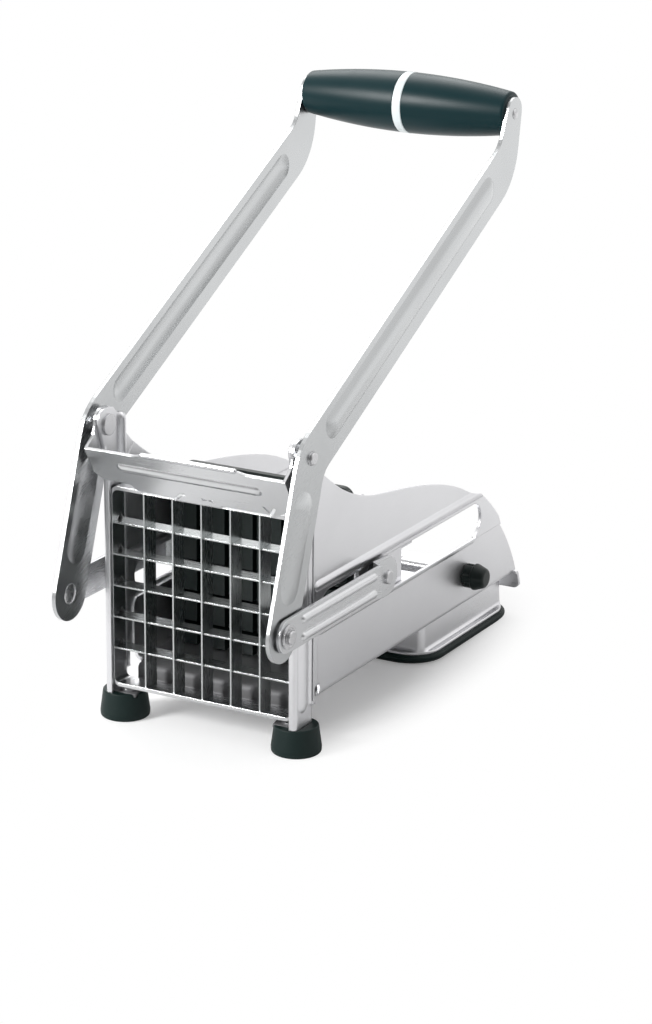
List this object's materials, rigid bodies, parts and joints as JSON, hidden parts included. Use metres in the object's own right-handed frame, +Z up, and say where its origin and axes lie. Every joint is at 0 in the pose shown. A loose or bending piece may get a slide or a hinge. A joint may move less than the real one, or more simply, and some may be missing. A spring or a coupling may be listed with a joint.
{
  "type": "french fry cutter",
  "caption": "Hand-lever french fry cutter: bent sheet body with a lift-out blade grid, lever arms with links that slide a toothed pusher, and a suction foot with a cam knob.",
  "frame": {"origin": "centre of the suction pad's underside, on the table", "axes": "+X across, towards the knob's side; +Y from the blades to the back; +Z up"},
  "size_m": [0.0976, 0.2087, 0.2183],
  "materials": {
    "body_sheet": "satin stainless sheet with a fine grain",
    "bright_sheet": "semi-bright stainless sheet",
    "arm_steel": "semi-bright stainless strip with pressed beads",
    "blade_steel": "bright thin blade steel",
    "pin_steel": "turned or cold-headed steel",
    "grip_plastic": "satin moulded plastic, dark slate",
    "ring_plastic": "white moulded plastic",
    "black_plastic": "black moulded plastic",
    "rubber": "matt black rubber"
  },
  "bodies": {
    "body": {"body_shell": "body_sheet", "pivot_rivets": "pin_steel", "pivot_spacers": "pin_steel", "front_feet": "rubber", "foot_rivets": "pin_steel", "suction_housing": "bright_sheet", "suction_pad": "rubber", "housing_rivets": "pin_steel"},
    "retainer": {"front_bar": "bright_sheet"},
    "blade_insert": {"insert_frame": "bright_sheet", "vertical_blades": "blade_steel", "horizontal_blades": "blade_steel"},
    "pusher": {"pusher_face": "black_plastic", "pusher_frame": "body_sheet", "pusher_axle": "pin_steel", "slide_bushes": "black_plastic", "face_rivets": "pin_steel"},
    "lever": {"left_arm": "arm_steel", "right_arm": "arm_steel", "grip_left": "grip_plastic", "grip_right": "grip_plastic", "grip_ring": "ring_plastic", "grip_rod": "pin_steel", "link_pins": "pin_steel", "link_washers": "pin_steel"},
    "left_link": {"left_link": "arm_steel", "left_link_rivet": "pin_steel"},
    "right_link": {"right_link": "arm_steel", "right_link_rivet": "pin_steel"},
    "suction_knob": {"knob": "black_plastic", "cam_shaft": "pin_steel", "lift_cam": "pin_steel", "shaft_clips": "pin_steel"},
    "suction_lift": {"lift_yoke": "pin_steel", "lift_stem": "pin_steel", "stem_nut": "pin_steel", "pad_spring": "pin_steel"}
  },
  "joints": [
    {"name": "lever_swing", "type": "hinge", "parent": "body", "child": "lever", "pos_m": [0, -0.1395, 0.1118], "axis": [1, 0, 0], "range_deg": [-38, 58]},
    {"name": "pusher_slide", "type": "slide", "parent": "body", "child": "pusher", "axis": [0, 1, 0], "range_m": [-0.0374, 0.057]},
    {"name": "left_link_swing", "type": "hinge", "parent": "lever", "child": "left_link", "pos_m": [0, -0.15931, 0.05294], "axis": [1, 0, 0], "range_deg": [-58.1, 38.1]},
    {"name": "right_link_swing", "type": "hinge", "parent": "lever", "child": "right_link", "pos_m": [0, -0.15931, 0.05294], "axis": [1, 0, 0], "range_deg": [-58.1, 38.1]},
    {"name": "insert_lift", "type": "slide", "parent": "body", "child": "blade_insert", "axis": [0, 0, 1], "range_m": [0, 0.105]},
    {"name": "bar_swing", "type": "hinge", "parent": "body", "child": "retainer", "pos_m": [0, -0.1395, 0.1118], "axis": [1, 0, 0], "range_deg": [-75, 0]},
    {"name": "knob_turn", "type": "hinge", "parent": "body", "child": "suction_knob", "pos_m": [0, -0.0078, 0.0294], "axis": [1, 0, 0], "range_deg": [0, 120.1]},
    {"name": "pad_lift", "type": "slide", "parent": "body", "child": "suction_lift", "axis": [0, 0, 1], "range_m": [0, 0.003], "deforming": ["pad_spring"]}
  ],
  "couplings": [
    {"joint": "pusher_slide", "follows": "lever_swing", "m_per_rad": 0.05615},
    {"joint": "left_link_swing", "follows": "lever_swing", "ratio": -1},
    {"joint": "right_link_swing", "follows": "lever_swing", "ratio": -1},
    {"joint": "knob_turn", "follows": "pad_lift", "rad_per_m": 698.13}
  ]
}
